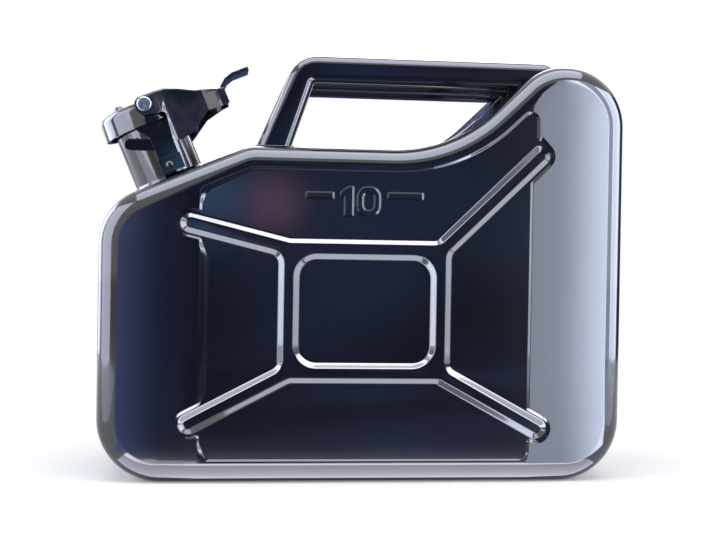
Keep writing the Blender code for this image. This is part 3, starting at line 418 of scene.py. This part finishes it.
def buildPressing(name, side):
    bm = bmesh.new()
    # every vertex keeps its level as base + gain * (face level - base), so that the vertices
    # cut in along the creases below find their own level
    base = bm.verts.layers.float.new("base")
    gain = bm.verts.layers.float.new("gain")

    def settle(vert):
        level = faceLevel(vert.co.x - shiftX)
        vert.co.y = side * (vert[base] + vert[gain] * (level - vert[base]))

    def loop(outline, low, share=0.0):
        ring = addRing(bm, [Vector((p.x + shiftX, 0, p.y)) for p in outline])
        for vert in ring:
            vert[base], vert[gain] = low, share
            settle(vert)
        return ring

    def softEdgeCuts(outline):
        # how often each edge is cut: only the long upright ones at the neck's end
        cuts = []
        for i, point in enumerate(outline):
            other = outline[(i + 1) % len(outline)]
            run = abs(point.y - other.y)
            upright = (abs(point.x - other.x) < relief["uprightDrift"]
                       and run > relief["uprightLeast"])
            soft = upright and point.x < relief["softPastCrease"] - creaseX
            cuts.append(math.ceil(run / relief["softCut"]) if soft else 1)
        return cuts

    def spread(point, share):
        # the step at the neck's end is drawn wide and soft, except round the arm tips
        near = max(0, 1 - max(0, point.x + creaseX) / relief["softStepReach"])
        clear = min(abs(point.y - armTips[arm][2]) for arm in ("upperLeft", "lowerLeft"))
        clear = min(1, max(0, clear / relief["softStepReach"] - relief["tipClearance"]))
        return Vector((point.x + relief["softStep"] * share * near * clear, point.y))

    def wall(corners, first, last, low, high=None):
        # a wall between two levels; without a given high level it starts on the face
        loops = []
        cuts = softEdgeCuts(roundedOutline(corners, first))
        for step in range(relief["wallSteps"] + 1):
            share = step / relief["wallSteps"]
            eased = wallFall(share)
            outline = roundedOutline(corners, first + (last - first) * share)
            if high is None:
                outline = [outline[i].lerp(outline[(i + 1) % len(outline)], cut / count)
                           for i, count in enumerate(cuts) for cut in range(count)]
                outline = [spread(point, share) for point in outline]
                loops.append(loop(outline, low, 1 - eased))
            else:
                loops.append(loop(outline, high + (low - high) * eased))
        for one, two in zip(loops, loops[1:]):
            bridge(bm, one, two)
        return loops[0], loops[-1]

    corners = tankCorners()
    rollStart = halfDepth - tank["faceRoll"]
    flange = tank["seamHalfWidth"] - tank["flangeShort"]
    loops = [loop(roundedOutline(corners, tank["seamDepth"]), level)
             for level in (tank["gap"] / 2, flange)]
    for step in range(1, tank["seamSteps"] + 1):
        share = step / tank["seamSteps"]
        eased = share * share * (3 - 2 * share)
        loops.append(loop(roundedOutline(corners, tank["seamDepth"] * (1 - eased)),
                          flange + (tank["seamDepth"] + tank["seamRunOut"]) * share))
    loops.append(loop(roundedOutline(corners), rollStart))
    for step in range(1, tank["rollSteps"] + 1):
        angle = math.pi / 2 * step / tank["rollSteps"]
        outline = roundedOutline(corners, tank["faceRoll"] * (1 - math.cos(angle)))
        loops.append(loop(outline, rollStart, math.sin(angle)))
    for first, second in zip(loops, loops[1:]):
        bridge(bm, first, second)
    panelLevel = halfDepth - relief["stepDepth"]
    grooveLevel = panelLevel - relief["grooveDepth"]
    soft = relief["grooveSoftening"]
    stepTop, stepFoot = wall(panelCorners(), -relief["stepSoftening"], relief["stepWidth"],
                             panelLevel)
    grooveTop, grooveFoot = wall(grooveCorners(), -soft / 3, relief["grooveWall"] + soft,
                                 grooveLevel, panelLevel)
    ringTop, ringFoot = wall(ringCorners(), soft, -relief["grooveWall"] - soft,
                             grooveLevel, panelLevel)
    fillFlat(bm, loops[-1], stepTop)
    fillFlat(bm, stepFoot, grooveTop)
    fillFlat(bm, grooveFoot, ringFoot)
    fillFlat(bm, ringTop)
    for hand in (-1, 1):
        bmesh.ops.bisect_plane(bm, geom=bm.verts[:] + bm.edges[:] + bm.faces[:],
                               dist=tank["cutTolerance"],
                               plane_co=(hand * creaseX + shiftX, 0, 0), plane_no=(1, 0, 0))
    for vert in bm.verts:
        settle(vert)
    bmesh.ops.recalc_face_normals(bm, faces=bm.faces)
    middle = max(bm.faces, key=lambda face: side * face.calc_center_median().y)
    if middle.normal.y * side < 0:
        bmesh.ops.reverse_faces(bm, faces=bm.faces)
    pressing = newObject(name, bm, panelEnamel, "can",
                         [name.replace("Pressing", "_shell")])
    sheet = pressing.modifiers.new("sheet", "SOLIDIFY")
    sheet.thickness, sheet.offset = tank["sheet"], -1
    return pressing


neck = {"radius": 24 * mm, "place": 44.8 * mm, "cutDepth": 16 * mm, "cutSides": 96}
neckX = neck["place"] - halfLength
neckBase = Vector((neckX + shiftX, 0,
                   recessHeight + (neckX - shoulderX) * math.tan(shoulderSlope)))
neckFrame = Matrix.Translation(neckBase) @ Matrix.Rotation(-shoulderSlope, 4, "Y")


def neckPoint(out, across, up):
    return neckFrame @ Vector((out, across, up))


def cutNeckHole(pressing):
    bm = bmesh.new()
    radius = neck["radius"] + tank["gap"]
    bmesh.ops.create_cone(bm, cap_ends=True, segments=neck["cutSides"], depth=neck["cutDepth"],
                          radius1=radius, radius2=radius, matrix=neckFrame)
    mesh = bpy.data.meshes.new("neckCutter")
    bm.to_mesh(mesh)
    bm.free()
    cutter = bpy.data.objects.new("neckCutter", mesh)
    bpy.context.scene.collection.objects.link(cutter)
    hole = pressing.modifiers.new("neckHole", "BOOLEAN")
    hole.object, hole.solver = cutter, "EXACT"
    bakeModifiers(pressing)
    bpy.data.objects.remove(cutter)


for shellName, shellSide in (("frontPressing", -1), ("rearPressing", 1)):
    pressing = buildPressing(shellName, shellSide)
    cutNeckHole(pressing)
    shadeEvenly(pressing, True)
print("tank pressed")


# Capacity mark: plain raised numerals between two dashes, on the front panel only

capacityMark = {
    "height": 0.5 * mm, "wallWidth": 1.6 * mm, "sunk": 0.2 * mm,
    "cornerSteps": 8, "sharpAngle": 60,
    # outlines as x from the can's middle, z from the floor and corner radius, in mm
    "one": [(-14.6, 174.9, 1.2), (-7.4, 174.9, 1.2), (-7.4, 195.6, 1.6), (-11.6, 195.6, 1.6),
            (-17.2, 191.6, 1.2), (-17.2, 187.6, 1.0), (-14.6, 188.6, 1.0)],
    "zero": [(-6.2, 174.9, 7.6), (10.4, 174.9, 7.6), (10.4, 195.8, 7.6), (-6.2, 195.8, 7.6)],
    "zeroHole": [(-0.9, 180.3, 2.6), (5.1, 180.3, 2.6), (5.1, 190.4, 2.6), (-0.9, 190.4, 2.6)],
    "dashLeft": [(-40.0, 186.1, 1.4), (-20.4, 186.1, 1.4), (-20.4, 191.6, 1.4),
                 (-40.0, 191.6, 1.4)],
    "dashRight": [(14.0, 186.6, 1.4), (38.9, 186.6, 1.4), (38.9, 192.2, 1.4),
                  (14.0, 192.2, 1.4)],
}


def raisedMark(name, outline, hole=None):
    bm = bmesh.new()
    panel = halfDepth - relief["stepDepth"]

    def walls(points, hand):
        corners = [(x * mm, z * mm, radius * mm, capacityMark["cornerSteps"])
                   for x, z, radius in points]
        loops = [addRing(bm, [Vector((p.x, -(panel - capacityMark["sunk"]), p.y))
                              for p in roundedOutline(corners)])]
        for step in range(relief["wallSteps"] + 1):
            share = step / relief["wallSteps"]
            inset = capacityMark["wallWidth"] * share * hand
            level = panel + capacityMark["height"] * wallFall(share)
            loops.append(addRing(bm, [Vector((p.x, -level, p.y))
                                      for p in roundedOutline(corners, inset)]))
        for one, two in zip(loops, loops[1:]):
            bridge(bm, one, two)
        return loops[0], loops[-1]

    ends = [walls(outline, 1)] + ([walls(hole, -1)] if hole else [])
    fillFlat(bm, *[foot for foot, top in ends])
    fillFlat(bm, *[top for foot, top in ends])
    bmesh.ops.recalc_face_normals(bm, faces=bm.faces)
    mark = newObject(name, bm, panelEnamel, "can", (),
                     capacityMark["sharpAngle"])
    shadeEvenly(mark, True)


raisedMark("markOne", capacityMark["one"])
raisedMark("markZero", capacityMark["zero"], capacityMark["zeroHole"])
raisedMark("markDashLeft", capacityMark["dashLeft"])
raisedMark("markDashRight", capacityMark["dashRight"])
print("capacity mark raised")


# Fittings: the frame's solids with broken edges

fittings = {
    # node: (finish, body, slot, edge radius)
    "seam_weld": (weldEnamel, "can", "stove_enamel", 0.3 * mm),
    "filler_neck": (fittingEnamel, "can", "stove_enamel", 0.3 * mm),
    "neck_collar": (weldEnamel, "can", "stove_enamel", 0.5 * mm),
    "breather_tube": (zincSteel, "can", "zinc_plated_steel", 0.2 * mm),
    "bar_front": (fittingEnamel, "can", "stove_enamel", 0.3 * mm),
    "bar_middle": (fittingEnamel, "can", "stove_enamel", 0.3 * mm),
    "bar_rear": (fittingEnamel, "can", "stove_enamel", 0.3 * mm),
    "foot_plate_front": (fittingEnamel, "can", "stove_enamel", 0.5 * mm),
    "foot_plate_middle": (fittingEnamel, "can", "stove_enamel", 0.5 * mm),
    "foot_plate_rear": (fittingEnamel, "can", "stove_enamel", 0.5 * mm),
    "neck_bracket_front": (fittingEnamel, "can", "stove_enamel", 0.4 * mm),
    "neck_bracket_rear": (fittingEnamel, "can", "stove_enamel", 0.4 * mm),
    "hinge_pin": (zincSteel, "can", "zinc_plated_steel", 0.3 * mm),
    "lid": (fittingEnamel, "lid", "stove_enamel", 0.35 * mm),
    "lid_gasket": (sealRubber, "lid", "nitrile_rubber", 0.3 * mm),
    "gasket_retainer": (zincSteel, "lid", "zinc_plated_steel", 0.3 * mm),
    "lever_rivet_front": (zincSteel, "lid", "zinc_plated_steel", 0.25 * mm),
    "lever_rivet_rear": (zincSteel, "lid", "zinc_plated_steel", 0.25 * mm),
    "cam_lever": (fittingEnamel, "lever", "stove_enamel", 0.3 * mm),
    "locking_slide": (fittingEnamel, "slide", "stove_enamel", 0.35 * mm),
}

breaking = {
    # merging and the two angles leave only the edges that a real fitting has broken
    "merge": 0.005 * mm, "flatAngle": 1, "brokenAngle": 32, "segments": 3, "smoothAngle": 180,
}


def dressFitting(node, finish, body, slot, edgeRadius):
    bm = bmesh.new()
    bm.from_mesh(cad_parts[node].data)
    bmesh.ops.remove_doubles(bm, verts=bm.verts, dist=breaking["merge"])
    bmesh.ops.dissolve_limit(bm, angle_limit=math.radians(breaking["flatAngle"]),
                             verts=bm.verts, edges=bm.edges)
    name = "".join(word.capitalize() for word in node.split("_"))
    piece = newObject(name[0].lower() + name[1:] + "Dressed", bm, finish, body, [node],
                      breaking["smoothAngle"])
    bevel = piece.modifiers.new("brokenEdges", "BEVEL")
    bevel.width, bevel.segments = edgeRadius, breaking["segments"]
    bevel.limit_method, bevel.angle_limit = "ANGLE", math.radians(breaking["brokenAngle"])
    shadeEvenly(piece, False)


for node, choice in fittings.items():
    dressFitting(node, *choice)
print("fittings dressed")


# Turned rivets: a low dome on a short shank, sunk into what carries it

rivets = {
    # places run out, across and up from the neck's foot, and all sizes are in mm
    "lidDomeRivet": {"place": (-15.0, 0.0, 57.5), "radius": 4.7, "rise": 5.4, "sink": 0.6,
                     "aim": "up", "finish": fittingEnamel, "body": "lid",
                     "slot": "stove_enamel", "stands": ["dome_rivet"]},
    "bracketRivetFront": {"place": (3.4, -29.3, 10.2), "radius": 2.5, "rise": 1.3, "sink": 0.5,
                          "aim": "front", "finish": fittingEnamel, "body": "can",
                          "slot": "stove_enamel", "stands": []},
    "bracketRivetRear": {"place": (3.4, 29.3, 10.2), "radius": 2.5, "rise": 1.3, "sink": 0.5,
                         "aim": "rear", "finish": fittingEnamel, "body": "can",
                         "slot": "stove_enamel", "stands": []},
}
aims = {"up": Matrix.Identity(3), "front": Matrix(((1, 0, 0), (0, 0, -1), (0, 1, 0))),
        "rear": Matrix(((1, 0, 0), (0, 0, 1), (0, -1, 0)))}
turning = {"footShare": 0.7, "shankShare": 0.96, "rounds": 48, "steps": 14}


def turnedRivet(name, settings):
    bm = bmesh.new()
    rings = []
    rounds, steps = turning["rounds"], turning["steps"]
    radius, rise, foot = (settings[key] * mm for key in ("radius", "rise", "sink"))
    profile = [(radius * turning["footShare"], -foot), (radius * turning["shankShare"], -foot),
               (radius, 0)]
    profile += [(radius * math.cos(math.pi / 2 * step / steps),
                 rise * math.sin(math.pi / 2 * step / steps)) for step in range(1, steps)]
    place = Vector(settings["place"]) * mm
    for out, up in profile:
        ring = []
        for turn in range(rounds):
            angle = 2 * math.pi * turn / rounds
            flat = Vector((out * math.cos(angle), out * math.sin(angle), up))
            ring.append(neckPoint(*(place + aims[settings["aim"]] @ flat)))
        rings.append(addRing(bm, ring))
    for first, second in zip(rings, rings[1:]):
        bridge(bm, first, second)
    bm.faces.new(rings[0])
    crown = aims[settings["aim"]] @ Vector((0, 0, rise))
    tip = bm.verts.new(neckPoint(*(place + crown)))
    for i in range(rounds):
        bm.faces.new((rings[-1][i], rings[-1][(i + 1) % rounds], tip))
    bmesh.ops.recalc_face_normals(bm, faces=bm.faces)
    newObject(name, bm, settings["finish"], settings["body"],
              settings["stands"])


for name, settings in rivets.items():
    turnedRivet(name, settings)
print("rivets turned")


# Stage: paper floor, felt and glowing cards, softboxes, white tent and the camera

stage = {
    "floor": "#efece3", "fadeStart": 0.22, "fadeEnd": 0.48, "floorLift": 0.14,
    "floorHalf": 6.0, "floorLevel": -0.0002, "tentLight": 0.45,
    # the felt's lighter tone and the fold settings paint light and shade of folds into the flat
    # felt card
    "feltDark": "#151925", "paintedFoldLight": "#55648d", "gleam": 2.0, "gleamAhead": 1 * mm,
    "paintedFoldSize": 0.3125, "paintedFoldShadeAt": 0.36, "paintedFoldLightAt": 0.68,
    # spots painted on the front felt card, which the panels mirror: the first is painted shade,
    # the other three are painted patches of coloured light
    "paintedSpots": [
        {"place": (-0.14, -1.05, 0.08), "reach": 0.26, "share": 0.75, "colour": "#13192b"},
        {"place": (-0.10, -1.05, 0.23), "reach": 0.10, "share": 0.8, "colour": "#93c6ff"},
        {"place": (-0.125, -1.05, 0.275), "reach": 0.07, "share": 0.7, "colour": "#93dcff"},
        {"place": (-0.01, -1.05, 0.22), "reach": 0.07, "share": 0.8, "colour": "#ffbddd"},
    ],
}


def floorMaterial():
    # matt white paper: diffuse near the can so that it takes a shadow, plain white far away
    material, tree, place = emptyMaterial("white paper sweep")
    away = addNode(tree, "ShaderNodeVectorMath", {"operation": "LENGTH"}, {0: place})
    fade = addNode(tree, "ShaderNodeMapRange", {"inputs": {
        "From Min": stage["fadeStart"], "From Max": stage["fadeEnd"]}},
        {"Value": away.outputs["Value"]})
    seen = addNode(tree, "ShaderNodeLightPath").outputs["Is Camera Ray"]
    share = addNode(tree, "ShaderNodeMath", {"operation": "MULTIPLY"},
                    {0: fade.outputs["Result"], 1: seen})
    paper = addNode(tree, "ShaderNodeBsdfDiffuse", {"inputs": {
        "Color": hexColour(stage["floor"])}})
    lift = addNode(tree, "ShaderNodeEmission", {"inputs": {"Strength": stage["floorLift"]}})
    dark = addNode(tree, "ShaderNodeEmission", {"inputs": {"Strength": 0.0}})
    liftSeen = addNode(tree, "ShaderNodeMixShader", {}, {0: seen, 1: dark.outputs[0],
                                                         2: lift.outputs[0]})
    near = addNode(tree, "ShaderNodeAddShader", {}, {0: paper.outputs[0], 1: liftSeen.outputs[0]})
    white = addNode(tree, "ShaderNodeEmission", {"inputs": {"Strength": 1.0}})
    mixed = addNode(tree, "ShaderNodeMixShader", {}, {0: share.outputs[0], 1: near.outputs[0],
                                                      2: white.outputs[0]})
    addNode(tree, "ShaderNodeOutputMaterial", {}, {"Surface": mixed.outputs[0]})
    return material


# where the graded light starts beside the can, how wide it is there and how fast it widens
fan = {"start": 0.112, "width": 0.053, "widening": 0.065}


def glowMaterial(name, glow):
    # a backlit diffuser, graded from the crease to the edge of what a face's plain end mirrors.
    # It widens with its distance from the can, as the mirrored rays do.
    material, tree, place = emptyMaterial("backlit diffuser " + name)
    split = addNode(tree, "ShaderNodeSeparateXYZ", {}, {0: place})
    away = addNode(tree, "ShaderNodeMath", {"operation": "MULTIPLY_ADD", "inputs": {
        1: -1, 2: -halfDepth}}, {0: split.outputs["Y"]})
    crease = addNode(tree, "ShaderNodeMath", {"operation": "MULTIPLY_ADD", "inputs": {
        1: glow["spread"], 2: fan["start"]}}, {0: away.outputs[0]})
    beyond = addNode(tree, "ShaderNodeMath", {"operation": "MULTIPLY", "inputs": {
        1: glow["side"]}}, {0: split.outputs["X"]})
    past = addNode(tree, "ShaderNodeMath", {"operation": "SUBTRACT"},
                   {0: beyond.outputs[0], 1: crease.outputs[0]})
    width = addNode(tree, "ShaderNodeMath", {"operation": "MULTIPLY_ADD", "inputs": {
        1: fan["widening"], 2: fan["width"]}}, {0: away.outputs[0]})
    share = addNode(tree, "ShaderNodeMath", {"operation": "DIVIDE"},
                    {0: past.outputs[0], 1: width.outputs[0]})
    level = addNode(tree, "ShaderNodeMapRange", {"interpolation_type": "SMOOTHSTEP", "inputs": {
        "From Min": glow["start"], "From Max": glow["full"],
        "To Min": glow["least"] * stage["gleam"],
        "To Max": glow["most"] * stage["gleam"]}}, {"Value": share.outputs[0]})
    light = addNode(tree, "ShaderNodeEmission", {"inputs": {"Color": hexColour(glow["colour"])}},
                    {"Strength": level.outputs["Result"]})
    addNode(tree, "ShaderNodeOutputMaterial", {}, {"Surface": light.outputs[0]})
    return material


def standing(start, end, height):
    return [(*start, 0), (*end, 0), (*end, height), (*start, height)]


def lying(level, *corners):
    return [(*corner, level) for corner in corners]


def addCard(name, corners, material, seen=False):
    # a card that isn't seen still shows in what the gloss mirrors, and takes no light away
    mesh = bpy.data.meshes.new(name)
    mesh.from_pydata(corners, [], [tuple(range(len(corners)))])
    mesh.materials.append(material)
    card = bpy.data.objects.new(name, mesh)
    bpy.context.scene.collection.objects.link(card)
    card.visible_camera = card.visible_diffuse = card.visible_shadow = seen


def feltMaterial():
    # dark felt with painted light and shade of soft folds, so that the panels mirror a dark room
    # and not one tone
    material, tree, shader, place = newMaterial("navy felt card with painted light and shade")
    # the noise paints lit, lighter folds and shaded, darker ones into the card's colour
    tone = addNode(tree, "ShaderNodeValToRGB", {},
                   {"Fac": addNoise(tree, place, stage["paintedFoldSize"], Detail=1)})
    tone.color_ramp.elements[0].position = stage["paintedFoldShadeAt"]
    tone.color_ramp.elements[0].color = hexColour(stage["feltDark"])
    tone.color_ramp.elements[1].position = stage["paintedFoldLightAt"]
    tone.color_ramp.elements[1].color = hexColour(stage["paintedFoldLight"])
    colour = tone.outputs["Color"]
    # each spot paints coloured light into the felt, or painted shade for the first, dark one
    for paintedSpot in stage["paintedSpots"]:
        away = addNode(tree, "ShaderNodeVectorMath", {"operation": "DISTANCE", "inputs": {
            1: paintedSpot["place"]}}, {0: place})
        glow = addNode(tree, "ShaderNodeMapRange", {"interpolation_type": "SMOOTHSTEP", "inputs": {
            "From Min": 0, "From Max": paintedSpot["reach"], "To Min": paintedSpot["share"], "To Max": 0}},
            {"Value": away.outputs["Value"]})
        mixed = addNode(tree, "ShaderNodeMix", {"data_type": "RGBA", "inputs": {
            7: hexColour(paintedSpot["colour"])}}, {0: glow.outputs["Result"], 6: colour})
        colour = mixed.outputs[2]
    tree.links.new(colour, shader.inputs["Base Color"])
    shader.inputs["Roughness"].default_value = 1
    shader.inputs["Specular IOR Level"].default_value = 0
    return material


half = stage["floorHalf"]
addCard("paperFloor", lying(stage["floorLevel"], (-half, -half), (half, -half), (half, half),
                            (-half, half)), floorMaterial(), seen=True)
navyFelt = feltMaterial()
cards = {
    # the dark that the flat faces mirror: upright and on the floor, in front and behind
    "cardFront": standing((-0.24, -1.05), (0.43, -1.05), 0.85),
    "cardFloor": lying(0.001, (-0.125, -0.15), (0.14, -0.15), (0.43, -1.05), (-0.24, -1.05)),
    "cardBackFloor": lying(0.001, (-0.16, 0.15), (0.16, 0.15), (0.45, 1.05), (-0.45, 1.05)),
    "cardRight": standing((1.2, 0.10), (0.9, 1.05), 0.8),
    "cardBack": standing((-0.40, 1.05), (0.40, 1.05), 0.55),
}
for cardName, corners in cards.items():
    addCard(cardName, corners, navyFelt)
glows = {
    # what the plain ends mirror, beside the felt: "start" and "full" are shares of the fan
    "glowLeft": {
        "side": -1, "spread": 0.119, "colour": "#93a6ff",
        "start": 0.3, "full": 1.5, "least": 0.08, "most": 1.1,
        "wall": standing((-0.355, -1.06), (-0.16, -1.06), 0.9),
        "floor": lying(0.0006, (-0.118, -0.10), (-0.16, -1.06), (-0.355, -1.06), (-0.19, -0.10))},
    "glowRight": {
        "side": 1, "spread": 0.370, "colour": "#b8c1d4",
        "start": 0.40, "full": 1.4, "least": 2.6, "most": 8.6,
        "wall": standing((0.42, -1.0), (0.68, -1.0), 0.9),
        "floor": lying(0.004, (0.118, -0.10), (0.42, -1.0), (0.68, -1.0), (0.21, -0.10))},
}
for glowName, glow in glows.items():
    graded = glowMaterial(glowName, glow)
    for part in ("wall", "floor"):
        addCard(glowName + part.capitalize(), glow[part], graded)


def addSoftbox(name, place, aim, width, height, radiance, colour, spread=180):
    lamp = bpy.data.lights.new(name, "AREA")
    lamp.spread = math.radians(spread)
    lamp.shape, lamp.size, lamp.size_y = "RECTANGLE", width, height
    lamp.energy = radiance * math.pi * width * height
    lamp.color = hexColour(colour)[:3]
    box = bpy.data.objects.new(name, lamp)
    bpy.context.scene.collection.objects.link(box)
    box.location = place
    box.rotation_euler = (Vector(aim) - Vector(place)).to_track_quat("-Z", "Y").to_euler()
    box.visible_camera = False
    return box


softboxes = {
    # name: place, aim, width, height, radiance, colour and, for a narrow beam, its spread
    "rightSoftbox": ((0.78, -0.90, 0.40), (0.12, 0, 0.30), 0.66, 1.1, 1.4, "#d3deff"),
    "rightSide": ((1.10, -0.40, 0.42), (0.1, 0, 0.30), 0.8, 1.0, 4.0, "#dfe7ff"),
    "leftSoftbox": ((-0.90, -0.42, 0.42), (0, 0, 0.30), 0.8, 1.0, 2.35, "#dfe6ff"),
    "leftBack": ((-1.05, 0.42, 0.42), (0, 0, 0.30), 0.7, 1.0, 3.0, "#d5dfff"),
    "topSoftbox": ((0.0, -0.25, 1.10), (0, 0, 0.1), 1.3, 0.9, 2.35, "#dde5fb"),
    "backSoftbox": ((0.1, 1.3, 0.9), (0, 0, 0.15), 1.2, 0.5, 1.5, "#ffffff"),
    "rightFloor": ((0.62, -0.48, 0.0015), (0.62, -0.48, 1.0), 0.60, 0.62, 0.7, "#d8e0ff"),
    "leftFloor": ((-0.66, -0.48, 0.0015), (-0.66, -0.48, 1.0), 0.60, 0.62, 0.7, "#d8e0ff"),
    "lowStripNear": ((0.0, -0.082, 0.0015), (0.0, -0.082, 1.0), 0.34, 0.030, 1.6, "#ecebff", 160),
    "lowStrip": ((0.0, -0.122, 0.0015), (0.0, -0.122, 1.0), 0.34, 0.050, 5.4, "#f8f6ff", 165),
}
for boxName, choice in softboxes.items():
    # enamel mirrors little of what it faces, so each box is brighter in gloss than in light.
    # Two lamps in one place would hide each other, so the one for gloss stands just ahead.
    addSoftbox(boxName, *choice).visible_glossy = False
    gleam = addSoftbox(boxName + "Gleam", *choice)
    gleam.data.energy *= stage["gleam"]
    gleam.location += gleam.rotation_euler.to_matrix() @ Vector((0, 0, -stage["gleamAhead"]))
    gleam.visible_diffuse = False

world = bpy.data.worlds.new("white tent")
bpy.context.scene.world = world
world.use_nodes = True
worldTree = world.node_tree
background = worldTree.nodes["Background"]
rays = addNode(worldTree, "ShaderNodeLightPath").outputs
seenOrGlossy = addNode(worldTree, "ShaderNodeMath", {"operation": "MAXIMUM"},
                       {0: rays["Is Camera Ray"], 1: rays["Is Glossy Ray"]})
direct = addNode(worldTree, "ShaderNodeMath", {"operation": "MAXIMUM"},
                 {0: seenOrGlossy.outputs[0], 1: rays["Is Transmission Ray"]})
strength = addNode(worldTree, "ShaderNodeMapRange", {"inputs": {
    "To Min": stage["tentLight"], "To Max": 1.0}}, {"Value": direct.outputs[0]})
worldTree.links.new(strength.outputs["Result"], background.inputs["Strength"])
background.inputs["Color"].default_value = (1, 1, 1, 1)

camera = {
    # fitted to the can's corners in the photograph; angles in radians, sensor in mm
    "place": (-0.10259, -0.88913, 0.14895), "yaw": -0.1196, "pitch": -0.0106, "roll": 0.0168,
    "focalPixels": 1255.07, "pictureWidth": 716, "sensorWidth": 36, "clipStart": 10 * mm,
}


def aimCamera():
    yaw, pitch, roll = camera["yaw"], camera["pitch"], camera["roll"]
    forward = Vector((-math.sin(yaw) * math.cos(pitch), math.cos(yaw) * math.cos(pitch),
                      math.sin(pitch)))
    level = Vector((math.cos(yaw), math.sin(yaw), 0))
    upright = level.cross(forward)
    right = level * math.cos(roll) + upright * math.sin(roll)
    up = upright * math.cos(roll) - level * math.sin(roll)
    data = bpy.data.cameras.new("photoCamera")
    data.sensor_width = camera["sensorWidth"]
    data.lens = camera["focalPixels"] * camera["sensorWidth"] / camera["pictureWidth"]
    data.clip_start = camera["clipStart"]
    eye = bpy.data.objects.new("photoCamera", data)
    bpy.context.scene.collection.objects.link(eye)
    turn = Matrix((right, up, -forward)).transposed().to_4x4()
    eye.matrix_world = Matrix.Translation(camera["place"]) @ turn
    bpy.context.scene.camera = eye


aimCamera()
bpy.context.scene.view_settings.view_transform = "Standard"
print("stage set")
